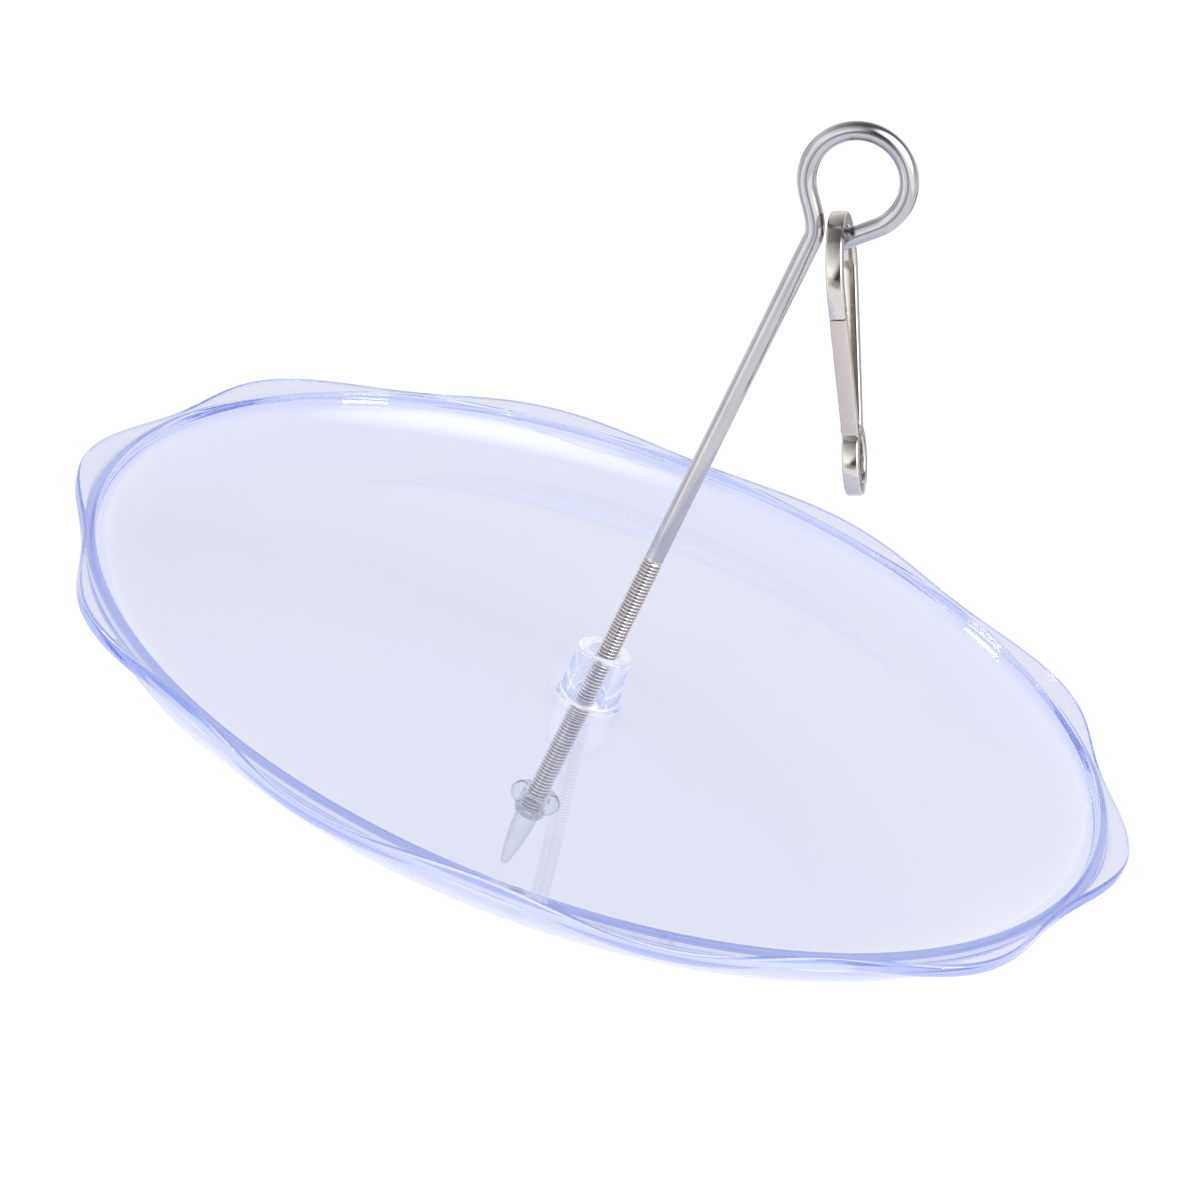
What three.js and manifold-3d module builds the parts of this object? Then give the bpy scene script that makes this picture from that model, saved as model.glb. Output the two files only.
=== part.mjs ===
import * as THREE from "three";
import { mergeVertices } from "three/addons/utils/BufferGeometryUtils.js";
import Module from "manifold-3d";

// Bird fruit holder: a wire skewer that hangs by its eye, a lobed catch plate on it, a winged tip nut
// under the plate and a sprung snap hook on the eye. Millimetres, +Z up the skewer, the origin where
// the eye hangs. The photo looks along +Y, so the gate of the hook faces -Y.

// Clearances
const GAP = 0.3;
const RIVET_FIT = 0.06;

// Skewer
const WIRE_D = 3.55;
const THREAD_D = 4.0;
const THREAD_LENGTH = 58;
const ROD_END_Z = -147.5;
const END_CHAMFER = 0.6;
const EYE_R = 9.3;
const EYE_OFFSET = 2.7;
const EYE_START_DEG = 215;
const EYE_STOP_DEG = -42.6;
const NECK_Z = -20.5;
const NECK_REACH = 3.0;

// Plate, in its own frame: the rim's top is at 0 and the floor lies below it
const RIM_R = 102.9;
const LOBES = 10;
const LOBE_WAVE = 2.16;
const LOBE_PHASE_DEG = -0.6;
const RIM_T = 2.6;
const RIM_ROUND = 0.6;
const RIM_LEDGE = 0.54;
const WALL_T = 1.8;
const PLATE_DEPTH = 11.7;
const FLOOR_T = 2.1;
const COVE_WIDTH = 20.2;
const BOSS_TOP = 0.4;
const BOSS_BASE_D = 11.6;
const BOSS_TOP_D = 10.6;
const BOSS_FILLET = 1.2;

// How the plate sits on the skewer: it leans in its loose bore and jams there
const LEAN_DEG = 7.0;
const LEAN_TOWARDS_DEG = 213.9;
const PLATE_Z = -116.1;

// Tip nut
const NUT_TOP_Z = -144.2;
const NUT_BODY_D = 6.2;
const NUT_BODY_H = 4.6;
const WING_SPAN = 9.9;
const WING_H = 6.2;
const WING_RISE = 2.3;
const WING_T = 2.4;
const TAIL_D = 4.4;
const TAIL_TIP_D = 1.5;
const TIP_Z = -160;

// Snap hook
const HOOK_LENGTH = 53.3;
const HOOK_T = 3.1;
const HOOK_BAR = 2.6;
const HOOK_ROUND = 0.35;
const BIG_R = 11;
const WAIST_R = 4.2;
const NECK_SPACING = 7.4;
const SMALL_R = 6.6;
const HANG_ALONG_EYE = 7.25;
const HANG_DEG = 29.3;
const NOSE_BELOW_TOP = 16.9;
const PIVOT_BELOW_WAIST = 0.7;
const GATE_OPEN_DEG = 25;
const LUG_T = 0.7;
const SLOT_W = 2.2;
const SLOT_PLAY = 0.15;
const GATE_FRONT_T = 0.4;
const RIVET_D = 1.0;
const LUG_WALL = 0.5;
const RIVET_HEAD_D = 1.8;
const RIVET_HEAD_H = 0.25;
const SPRING_WIRE_D = 0.3;
const SPRING_R = 0.88;
const SPRING_PITCH = 0.74;
const SPRING_TURNS = 1.25;
const SPRING_LEG = 0.6;

const rad = THREE.MathUtils.degToRad;
const wasm = await Module();
wasm.setup();

// A geometry as a closed solid
function solid(geometry) {
  const plain = geometry.clone();
  plain.deleteAttribute("normal");
  plain.deleteAttribute("uv");
  const merged = mergeVertices(plain, 1e-4);
  return new wasm.Manifold(
    new wasm.Mesh({
      numProp: 3,
      vertProperties: new Float32Array(merged.attributes.position.array),
      triVerts: new Uint32Array(merged.index.array),
    }),
  );
}

// A solid as a named mesh
function piece(name, shape, material) {
  const made = shape.getMesh();
  const geometry = new THREE.BufferGeometry();
  geometry.setAttribute("position", new THREE.BufferAttribute(made.vertProperties, 3));
  geometry.setIndex(new THREE.BufferAttribute(made.triVerts, 1));
  geometry.computeVertexNormals();
  const mesh = new THREE.Mesh(geometry, material);
  mesh.name = name;
  return mesh;
}

// A profile of [radius, z] points turned about Z
function turned(profile, segments) {
  const points = profile.map(([r, z]) => new THREE.Vector2(r, z));
  return new THREE.LatheGeometry(points, segments).rotateX(Math.PI / 2);
}

// A shape drawn in the local XY plane and made thick about z = 0, its edges rounded
function slab(shape, thickness, round, curveSegments, roundSegments = 1) {
  const geometry = new THREE.ExtrudeGeometry(shape, {
    depth: thickness - 2 * round,
    bevelEnabled: round > 0,
    bevelThickness: round,
    bevelSize: round,
    bevelOffset: -round,
    bevelSegments: roundSegments,
    curveSegments,
    steps: 1,
  });
  return geometry.translate(0, 0, round - thickness / 2);
}

const steel = new THREE.MeshStandardMaterial({ color: 0x9a9694, roughness: 0.25, metalness: 1 });
const nickel = new THREE.MeshStandardMaterial({ color: 0xb9b2ab, roughness: 0.2, metalness: 1 });
const clearBlue = new THREE.MeshStandardMaterial({
  color: 0xdfe2f7,
  roughness: 0.06,
  metalness: 0,
  transparent: true,
  opacity: 0.45,
});
const clearGrey = new THREE.MeshStandardMaterial({
  color: 0xc9d3e2,
  roughness: 0.08,
  metalness: 0,
  transparent: true,
  opacity: 0.5,
});
const springSteel = new THREE.MeshStandardMaterial({ color: 0x8c8a88, roughness: 0.35, metalness: 1 });
const rivetSteel = new THREE.MeshStandardMaterial({ color: 0xb4aea8, roughness: 0.25, metalness: 1 });

// Skewer: the shaft and its thread are turned, the eye is a wire swept along its bent middle line
const wireR = WIRE_D / 2;
const threadR = THREAD_D / 2;
const threadTopZ = ROD_END_Z + THREAD_LENGTH;
const eyeZ = -Math.sqrt((EYE_R - wireR) ** 2 - EYE_OFFSET ** 2);
const eyePoint = (deg) =>
  new THREE.Vector3(
    EYE_OFFSET + EYE_R * Math.cos(rad(deg)),
    0,
    eyeZ + EYE_R * Math.sin(rad(deg)),
  );
const eyeHeading = (deg) => new THREE.Vector3(Math.sin(rad(deg)), 0, -Math.cos(rad(deg)));

class EyeArc extends THREE.Curve {
  getPoint(t, target = new THREE.Vector3()) {
    return target.copy(eyePoint(EYE_START_DEG + t * (EYE_STOP_DEG - EYE_START_DEG)));
  }
}

const neckFoot = new THREE.Vector3(0, 0, NECK_Z);
const arcFoot = eyePoint(EYE_START_DEG);
const arcEnd = eyePoint(EYE_STOP_DEG);
const tailHeading = eyeHeading(EYE_STOP_DEG);
// The wire's end stops short of the shaft by the gap
const tailEndX = wireR + GAP + wireR * Math.abs(tailHeading.z);
const tailLength = (tailEndX - arcEnd.x) / tailHeading.x;
const tailEnd = arcEnd.clone().addScaledVector(tailHeading, tailLength);

const eyePath = new THREE.CurvePath();
eyePath.add(new THREE.LineCurve3(new THREE.Vector3(0, 0, NECK_Z - 2), neckFoot));
eyePath.add(
  new THREE.CubicBezierCurve3(
    neckFoot,
    neckFoot.clone().add(new THREE.Vector3(0, 0, NECK_REACH)),
    arcFoot.clone().addScaledVector(eyeHeading(EYE_START_DEG), -NECK_REACH),
    arcFoot,
  ),
);
eyePath.add(new EyeArc());
eyePath.add(new THREE.LineCurve3(arcEnd, tailEnd));

const wireSection = new THREE.Shape();
wireSection.absarc(0, 0, wireR, 0, 2 * Math.PI, false);
const eye = new THREE.ExtrudeGeometry(wireSection, {
  steps: 64,
  curveSegments: 11,
  extrudePath: eyePath,
});
const shaft = turned(
  [
    [0, ROD_END_Z],
    [threadR - END_CHAMFER, ROD_END_Z],
    [threadR, ROD_END_Z + END_CHAMFER],
    [threadR, threadTopZ],
    [wireR, threadTopZ + END_CHAMFER],
    [wireR, NECK_Z - 1],
    [0, NECK_Z - 1],
  ],
  36,
);
const skewer = piece("skewer", solid(shaft).add(solid(eye)), steel);

// Plate: a turned shell with its boss, and a lobed rim added round its wall
// Between two lobes the rim is only a ledge outside the wall
const wallR = RIM_R - LOBE_WAVE - RIM_LEDGE;
const wallInR = wallR - WALL_T;
const floorR = wallR - COVE_WIDTH;
const floorTop = FLOOR_T - PLATE_DEPTH;
const boreLength = PLATE_DEPTH + BOSS_TOP;
const leanSpread = boreLength * Math.sin(rad(LEAN_DEG));
const boreR = (THREAD_D + leanSpread) / (2 * Math.cos(rad(LEAN_DEG))) + GAP;
const COVE_STEPS = 7;
// One side of the cove, from the floor up to the wall, as a quarter of an ellipse
function cove(radius, bottom, top) {
  const points = [];
  for (let i = 0; i <= COVE_STEPS; i += 1) {
    const a = (i / COVE_STEPS) * (Math.PI / 2);
    const r = floorR + (radius - floorR) * Math.sin(a);
    const z = bottom + (top - bottom) * (1 - Math.cos(a));
    points.push([r, z]);
  }
  return points;
}
const bossBaseR = BOSS_BASE_D / 2;
const bossTopR = BOSS_TOP_D / 2;
const plateProfile = [
  [boreR, -PLATE_DEPTH],
  ...cove(wallR, -PLATE_DEPTH, -RIM_T),
  [wallR, -RIM_ROUND],
  [wallR, 0],
  [wallInR + RIM_ROUND, 0],
  [wallInR + RIM_ROUND * 0.3, -RIM_ROUND * 0.3],
  ...cove(wallInR, floorTop, -RIM_ROUND).reverse(),
  [bossBaseR + BOSS_FILLET, floorTop],
  [bossBaseR + BOSS_FILLET * 0.3, floorTop + BOSS_FILLET * 0.3],
  [bossBaseR, floorTop + BOSS_FILLET],
  [bossTopR, BOSS_TOP - RIM_ROUND],
  [bossTopR - RIM_ROUND, BOSS_TOP],
  [boreR, BOSS_TOP],
  [boreR, -PLATE_DEPTH],
];
const shell = turned(plateProfile, 120);

const lobedRim = new THREE.Shape();
const RIM_POINTS = 150;
for (let i = 0; i < RIM_POINTS; i += 1) {
  const a = (i / RIM_POINTS) * 2 * Math.PI;
  const r = RIM_R + LOBE_WAVE * Math.cos(LOBES * (a - rad(LOBE_PHASE_DEG)));
  const x = r * Math.cos(a);
  const y = r * Math.sin(a);
  if (i === 0) lobedRim.moveTo(x, y);
  else lobedRim.lineTo(x, y);
}
lobedRim.closePath();
const rimHole = new THREE.Path();
rimHole.absarc(0, 0, wallR - WALL_T * 0.45, 0, 2 * Math.PI, true);
lobedRim.holes.push(rimHole);
const rim = slab(lobedRim, RIM_T, RIM_ROUND, 60).translate(0, 0, -RIM_T / 2);

// The plate's own axis crosses the skewer half way down the bore
const leanAxis = new THREE.Vector3(
  -Math.sin(rad(LEAN_TOWARDS_DEG)),
  Math.cos(rad(LEAN_TOWARDS_DEG)),
  0,
);
const lean = new THREE.Matrix4()
  .makeTranslation(0, 0, PLATE_Z)
  .multiply(new THREE.Matrix4().makeRotationAxis(leanAxis, rad(LEAN_DEG)))
  .multiply(new THREE.Matrix4().makeTranslation(0, 0, PLATE_DEPTH - boreLength / 2));
const plate = piece("plate", solid(shell).add(solid(rim)), clearBlue);
plate.applyMatrix4(lean);

// Tip nut: a turned body and tail with a blind bore, and a pair of rounded wings
// that stand up beside the rod
const nutBodyR = NUT_BODY_D / 2;
const nutFootZ = NUT_TOP_Z - NUT_BODY_H;
const nutBoreR = threadR + GAP;
const wingTopZ = NUT_TOP_Z + WING_RISE;
const tailR = TAIL_D / 2;
const tailTipR = TAIL_TIP_D / 2;
const nutBlank = turned(
  [
    [0, TIP_Z],
    [tailTipR * 0.7, TIP_Z],
    [tailTipR, TIP_Z + tailTipR * 0.5],
    [tailTipR + (tailR - tailTipR) * 0.55, TIP_Z + (nutFootZ - TIP_Z) * 0.35],
    [tailTipR + (tailR - tailTipR) * 0.9, TIP_Z + (nutFootZ - TIP_Z) * 0.7],
    [tailR, nutFootZ],
    [nutBodyR - 0.5, nutFootZ + 0.7],
    [nutBodyR, nutFootZ + 1.6],
    [nutBodyR, NUT_TOP_Z - 0.5],
    [nutBodyR - 0.5, NUT_TOP_Z],
    [0, NUT_TOP_Z],
  ],
  36,
);
const nutBore = turned(
  [
    [0, ROD_END_Z - GAP],
    [nutBoreR - END_CHAMFER, ROD_END_Z - GAP],
    [nutBoreR, ROD_END_Z - GAP + END_CHAMFER],
    [nutBoreR, wingTopZ + GAP],
    [0, wingTopZ + GAP],
  ],
  36,
);
const wingShape = new THREE.Shape();
wingShape.absellipse(0, 0, WING_SPAN / 2, WING_H / 2, 0, 2 * Math.PI, false, 0);
const wings = slab(wingShape, WING_T, WING_T * 0.35, 18, 2)
  .rotateX(Math.PI / 2)
  .translate(0, 0, wingTopZ - WING_H / 2);
const tipNut = piece("tip_nut", solid(nutBlank).add(solid(wings)).subtract(solid(nutBore)), clearGrey);

// Snap hook, drawn in its own plane: x to the back, y up it, the eye's wire at the origin.
// The wire crosses that plane at a slant, so the bar rides over it by more than the wire's radius.
const hookUp = new THREE.Vector3(-Math.sin(rad(HANG_DEG)), 0, Math.cos(rad(HANG_DEG)));
const slant = Math.asin(Math.abs(hookUp.dot(tailHeading)));
const rideOver = wireR / Math.cos(slant) + (HOOK_T / 2) * Math.tan(slant);
const hookTop = HOOK_BAR + GAP + rideOver;
const bigY = hookTop - BIG_R;
const smallY = hookTop - HOOK_LENGTH + SMALL_R;
const waistY = smallY + NECK_SPACING;
const taper = Math.asin((BIG_R - WAIST_R) / (bigY - waistY));

// The outline round two circles, the larger one above
function teardrop(path, inset) {
  const right = -taper;
  const left = Math.PI + taper;
  path.absarc(0, bigY, BIG_R - inset, right, left, false);
  path.absarc(0, waistY, WAIST_R - inset, left, 2 * Math.PI + right, false);
  path.closePath();
  return path;
}
const bigLoop = teardrop(new THREE.Shape(), 0);
const bigHole = teardrop(new THREE.Shape(), HOOK_BAR);
const smallLobe = new THREE.Shape();
smallLobe.absarc(0, smallY, SMALL_R, 0, 2 * Math.PI, false);
const smallEye = new THREE.Shape();
smallEye.absarc(0, smallY, SMALL_R - HOOK_BAR, 0, 2 * Math.PI, false);

// The gate is the front bar of the big loop. Its foot is a channel, closed in front, that goes over a thin
// lug on the body; the pivot lies behind the bar's middle line, so that the lug clears the channel's front.
const gateUp = new THREE.Vector3(-Math.sin(taper), Math.cos(taper), 0);
const gateOut = new THREE.Vector3(-Math.cos(taper), -Math.sin(taper), 0);
const barMiddle = gateOut.clone().multiplyScalar(BIG_R - HOOK_BAR / 2);
barMiddle.y += bigY;
const onBar = (y) => barMiddle.clone().addScaledVector(gateUp, (y - barMiddle.y) / gateUp.y);
const lugR = RIVET_D / 2 + LUG_WALL;
const slotR = lugR + GAP;
const footR = slotR + GATE_FRONT_T;
const barInner = HOOK_BAR - footR;
const pivotOnBar = onBar(waistY - PIVOT_BELOW_WAIST);
const pivot = pivotOnBar.clone().addScaledVector(gateOut, HOOK_BAR / 2 - footR);
const gateLength = onBar(hookTop - NOSE_BELOW_TOP).distanceTo(pivotOnBar) - GAP;
const lugW = -SLOT_W / 2 + SLOT_PLAY + LUG_T / 2;
const springFootW = lugW + LUG_T / 2 + (SLOT_PLAY + SPRING_WIRE_D) / 2;

// A box on the pivot, along the gate from foot to top and across it from outer to inner, turned inwards
function gateBar(foot, top, outer, inner, thickness, offset, turnDeg) {
  const box = new THREE.BoxGeometry(inner - outer, top - foot, thickness);
  box.translate((inner + outer) / 2, (top + foot) / 2, offset);
  box.rotateZ(taper - rad(turnDeg));
  return box.translate(pivot.x, pivot.y, 0);
}
function pivotDisc(radius, thickness, offset) {
  const disc = new THREE.CylinderGeometry(radius, radius, thickness, 28);
  disc.rotateX(Math.PI / 2);
  return disc.translate(pivot.x, pivot.y, offset);
}
const rivetHole = solid(pivotDisc(RIVET_D / 2 + RIVET_FIT, HOOK_T * 2, 0));

let hookBody = solid(slab(bigLoop, HOOK_T, HOOK_ROUND, 22)).add(
  solid(slab(smallLobe, HOOK_T, HOOK_ROUND, 22)),
);
hookBody = hookBody.subtract(solid(slab(bigHole, HOOK_T * 2, 0, 22)));
hookBody = hookBody.subtract(solid(slab(smallEye, HOOK_T * 2, 0, 18)));
const SWING_STEPS = 5;
for (let i = 0; i <= SWING_STEPS; i += 1) {
  const turn = (i / SWING_STEPS) * (GATE_OPEN_DEG + 3);
  const window = gateBar(0, gateLength + GAP, -footR - GAP, barInner + GAP, HOOK_T * 2, 0, turn);
  hookBody = hookBody.subtract(solid(window));
}
hookBody = hookBody.subtract(solid(pivotDisc(footR + GAP, HOOK_T * 2, 0)));
hookBody = hookBody.add(solid(pivotDisc(lugR, LUG_T, lugW)));
hookBody = hookBody.add(solid(gateBar(-footR - 3 * GAP, 0, 0, lugR, LUG_T, lugW, 0)));
hookBody = hookBody.subtract(rivetHole);

let hookGate = solid(gateBar(0, gateLength, -footR, barInner, HOOK_T, 0, 0));
hookGate = hookGate.add(solid(pivotDisc(footR, HOOK_T, 0)));
hookGate = hookGate.subtract(solid(pivotDisc(slotR, SLOT_W, 0)));
hookGate = hookGate.subtract(solid(gateBar(0, slotR + GAP, -slotR, 2 * footR, SLOT_W, 0, 0)));
hookGate = hookGate.subtract(solid(gateBar(-2 * footR, GAP, -GAP, 2 * footR, SLOT_W, 0, 0)));
hookGate = hookGate.subtract(rivetHole);

const headAt = HOOK_T / 2 + RIVET_FIT + RIVET_HEAD_H / 2;
const rivetLength = HOOK_T + 2 * RIVET_FIT + RIVET_HEAD_H;
const rivetHead = pivotDisc(RIVET_HEAD_D / 2, RIVET_HEAD_H, headAt);
const rivetFoot = pivotDisc(RIVET_HEAD_D / 2, RIVET_HEAD_H, -headAt);
const rivetStem = pivotDisc(RIVET_D / 2, rivetLength, 0);
const gateRivet = solid(rivetStem).add(solid(rivetHead)).add(solid(rivetFoot));

// The spring is one wire: a leg, the coil round the rivet beside the lug, and a leg on the body
class SpringWire extends THREE.Curve {
  getPoint(t, target = new THREE.Vector3()) {
    const coil = SPRING_TURNS * 2 * Math.PI * SPRING_R;
    const along = t * (coil + 2 * SPRING_LEG) - SPRING_LEG;
    const onCoil = Math.min(Math.max(along, 0), coil);
    const over = along - onCoil;
    const a = onCoil / SPRING_R;
    const x = SPRING_R * Math.cos(a) - over * Math.sin(a);
    const y = SPRING_R * Math.sin(a) + over * Math.cos(a);
    return target.set(x, y, (SPRING_PITCH * a) / (2 * Math.PI));
  }
}
const springSection = new THREE.Shape();
springSection.absarc(0, 0, SPRING_WIRE_D / 2, 0, 2 * Math.PI, false);
const springWire = new THREE.ExtrudeGeometry(springSection, {
  steps: 36,
  curveSegments: 3,
  extrudePath: new SpringWire(),
});
springWire.rotateZ(taper + Math.PI);
springWire.translate(pivot.x, pivot.y, springFootW);
const gateSpring = solid(springWire);

// The hook hangs on the straight end of the eye, its plane across the wire
const hang = arcEnd.clone().addScaledVector(tailHeading, HANG_ALONG_EYE);
const hookBack = new THREE.Vector3(0, 1, 0);
const hookSide = hookBack.clone().cross(hookUp);
const hung = new THREE.Matrix4().makeBasis(hookBack, hookUp, hookSide).setPosition(hang);

const hookPieces = [
  piece("hook_body", hookBody, nickel),
  piece("hook_gate", hookGate, nickel.clone()),
  piece("gate_rivet", gateRivet, rivetSteel),
  piece("gate_spring", gateSpring, springSteel),
];
for (const hookPiece of hookPieces) hookPiece.applyMatrix4(hung);

const holder = new THREE.Group();
holder.name = "bird_fruit_holder";
holder.add(skewer, plate, tipNut, ...hookPieces);

export default holder;
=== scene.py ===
import math

import bmesh
import bpy
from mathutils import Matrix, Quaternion, Vector


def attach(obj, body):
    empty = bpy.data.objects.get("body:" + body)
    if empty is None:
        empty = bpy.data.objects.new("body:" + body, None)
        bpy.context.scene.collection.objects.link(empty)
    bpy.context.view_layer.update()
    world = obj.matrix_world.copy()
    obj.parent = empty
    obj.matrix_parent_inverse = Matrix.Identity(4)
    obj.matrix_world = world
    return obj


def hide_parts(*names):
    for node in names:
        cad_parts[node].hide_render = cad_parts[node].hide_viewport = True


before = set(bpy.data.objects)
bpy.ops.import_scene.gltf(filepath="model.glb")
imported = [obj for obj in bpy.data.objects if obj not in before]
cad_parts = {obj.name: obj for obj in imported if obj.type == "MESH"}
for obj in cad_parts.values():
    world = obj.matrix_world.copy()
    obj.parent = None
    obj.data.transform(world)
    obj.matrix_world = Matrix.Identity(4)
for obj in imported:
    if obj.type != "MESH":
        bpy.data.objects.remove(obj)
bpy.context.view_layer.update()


# Skewer: one length of bright stainless wire, drawn to size. Its top is bent round to the hanging
# eye, the end comes back to the shaft, and the lower end is rolled to an M4 thread for the plate
# and the nut.
MM = 0.001
UP = Vector((0, 0, 1))
WIRE_R = 1.775
THREAD_R = 2.0
THREAD_ROOT_R = 1.58
THREAD_PITCH = 0.7
THREAD_TOP_Z = -89.5
THREAD_RUNOUT = 1.1
FLANK_STEEP = 1.3
FLANK_FLAT = 0.15
ROD_END_Z = -147.5
ROD_CHAMFER = 0.6
EYE_R = 9.3
EYE_X = 2.7
EYE_Z = -math.sqrt((EYE_R - WIRE_R) ** 2 - EYE_X**2)
EYE_FROM = math.radians(215)
EYE_TO = math.radians(-42.6)
NECK_Z = -20.5
NECK_REACH = 3.0
END_GAP = 0.3
END_CHAMFER = 0.25
ROWS_PER_TURN = 10
SHAFT_ROWS = 25
NECK_ROWS = 20
EYE_ROWS = 96
END_ROWS = 10
CAP_STEP = 0.1


def skin(name, rings, closed=False, sharp=40):
    """A closed mesh over rings of points in millimetres, with a UV of millimetres along and round"""
    count = len(rings[0])
    faces = []
    places = []
    along = [0.0]
    for near, far in zip(rings, rings[1:] + rings[:1]):
        step = sum((Vector(a) - Vector(b)).length for a, b in zip(near, far)) / count
        along.append(along[-1] + step)
    spans = len(rings) if closed else len(rings) - 1
    for i in range(spans):
        here = i * count
        there = (i + 1) % len(rings) * count
        ring = rings[i]
        side = sum((Vector(ring[k]) - Vector(ring[k - 1])).length for k in range(count)) / count
        for k in range(count):
            n = (k + 1) % count
            faces.append((here + k, here + n, there + n, there + k))
            places += [
                (along[i], k * side),
                (along[i], (k + 1) * side),
                (along[i + 1], (k + 1) * side),
                (along[i + 1], k * side),
            ]
    if not closed:
        last = (len(rings) - 1) * count
        faces.append(tuple(reversed(range(count))))
        faces.append(tuple(range(last, last + count)))
        places += [(0.0, k * CAP_STEP) for k in range(2 * count)]
    mesh = bpy.data.meshes.new(name)
    mesh.from_pydata([Vector(p) * MM for ring in rings for p in ring], [], faces)
    layer = mesh.uv_layers.new(name="along_round")
    for loop, place in zip(layer.data, places):
        loop.uv = place
    piece = bpy.data.objects.new(name, mesh)
    bpy.context.scene.collection.objects.link(piece)
    soften(piece, sharp)
    return piece


def soften(piece, sharp):
    """Faces out and smooth, with a hard line only where two faces meet at a corner"""
    work = bmesh.new()
    work.from_mesh(piece.data)
    bmesh.ops.recalc_face_normals(work, faces=work.faces)
    for face in work.faces:
        face.smooth = True
    for edge in work.edges:
        paired = len(edge.link_faces) == 2
        edge.smooth = paired and edge.calc_face_angle(0) < math.radians(sharp)
    work.to_mesh(piece.data)
    work.free()


def round_ring(centre, heading, radius, count=48):
    """A ring about a point of a wire bent in the XZ plane; its radius may change with the angle"""
    out = Vector((heading.z, 0, -heading.x))
    ring = []
    for k in range(count):
        a = 2 * math.pi * k / count
        r = radius(a) if callable(radius) else radius
        ring.append(centre + r * (math.cos(a) * out + Vector((0, math.sin(a), 0))))
    return ring


def thread_radius(z):
    """The rolled thread's radius at a height, as a function of the angle round the rod"""
    runout = min(max((THREAD_TOP_Z - z) / THREAD_RUNOUT, 0), 1)
    middle = (THREAD_R + THREAD_ROOT_R) / 2
    chamfer = THREAD_R - ROD_CHAMFER + (z - ROD_END_Z)

    def at(angle):
        turns = (z - ROD_END_Z) / THREAD_PITCH - angle / (2 * math.pi)
        flank = abs(turns % 1 * 2 - 1)
        ridge = min(max(flank * FLANK_STEEP - FLANK_FLAT, 0), 1)
        rolled = middle + (THREAD_R - THREAD_ROOT_R) * (ridge * ridge * (3 - 2 * ridge) - 0.5)
        return min(WIRE_R + (rolled - WIRE_R) * runout, chamfer)

    return at


def eye_point(a):
    """The middle of the wire at an angle round the eye"""
    return Vector((EYE_X + EYE_R * math.cos(a), 0, EYE_Z + EYE_R * math.sin(a)))


def eye_heading(a):
    """The way the wire runs at an angle round the eye"""
    return Vector((math.sin(a), 0, -math.cos(a)))


skewer_rings = []
thread_rows = round((THREAD_TOP_Z - ROD_END_Z) / THREAD_PITCH * ROWS_PER_TURN)
for row in range(thread_rows + 1):
    z = ROD_END_Z + row * THREAD_PITCH / ROWS_PER_TURN
    skewer_rings.append(round_ring(Vector((0, 0, z)), UP, thread_radius(z)))
for row in range(1, SHAFT_ROWS):
    z = THREAD_TOP_Z + (NECK_Z - THREAD_TOP_Z) * row / SHAFT_ROWS
    skewer_rings.append(round_ring(Vector((0, 0, z)), UP, WIRE_R))
neck = [
    Vector((0, 0, NECK_Z)),
    Vector((0, 0, NECK_Z + NECK_REACH)),
    eye_point(EYE_FROM) - eye_heading(EYE_FROM) * NECK_REACH,
    eye_point(EYE_FROM),
]
for row in range(NECK_ROWS):
    u = row / NECK_ROWS
    v = 1 - u
    at = v**3 * neck[0] + 3 * v * v * u * neck[1] + 3 * v * u * u * neck[2] + u**3 * neck[3]
    way = v * v * (neck[1] - neck[0]) + 2 * v * u * (neck[2] - neck[1]) + u * u * (neck[3] - neck[2])
    skewer_rings.append(round_ring(at, way.normalized(), WIRE_R))
for row in range(EYE_ROWS + 1):
    a = EYE_FROM + (EYE_TO - EYE_FROM) * row / EYE_ROWS
    skewer_rings.append(round_ring(eye_point(a), eye_heading(a), WIRE_R))
end_from = eye_point(EYE_TO)
end_way = eye_heading(EYE_TO)
end_x = WIRE_R + END_GAP + WIRE_R * abs(end_way.z)
end_length = (end_x - end_from.x) / end_way.x
for row in range(1, END_ROWS + 1):
    at = end_from + end_way * (end_length - END_CHAMFER) * row / END_ROWS
    skewer_rings.append(round_ring(at, end_way, WIRE_R))
skewer_rings.append(round_ring(end_from + end_way * end_length, end_way, WIRE_R - END_CHAMFER))
skewer = skin("skewer_wire", skewer_rings)


def linear(colour):
    """An sRGB hex colour as linear red, green, blue and alpha"""
    parts = [int(colour[i : i + 2], 16) / 255 for i in (1, 3, 5)]
    return [c / 12.92 if c <= 0.04045 else ((c + 0.055) / 1.055) ** 2.4 for c in parts] + [1.0]


def bare_tree(owner):
    """The emptied node tree of a new material or world"""
    owner.use_nodes = True
    owner.node_tree.nodes.clear()
    return owner.node_tree


def put(tree, kind, sockets=None, **settings):
    """Adds a node with its settings; a socket takes a value, or a link from a node's output"""
    node = tree.nodes.new(kind)
    for key, value in settings.items():
        setattr(node, key, value)
    for key, value in (sockets or {}).items():
        if isinstance(value, bpy.types.NodeSocket):
            tree.links.new(value, node.inputs[key])
        else:
            node.inputs[key].default_value = value
    return node


# A mix node's sockets go by number: its share, its two plain numbers, its two colours and, among
# its outputs, the mixed colour.
SHARE, NUMBER_A, NUMBER_B, COLOUR_A, COLOUR_B = 0, 2, 3, 6, 7
MIXED_COLOUR = 2

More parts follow.
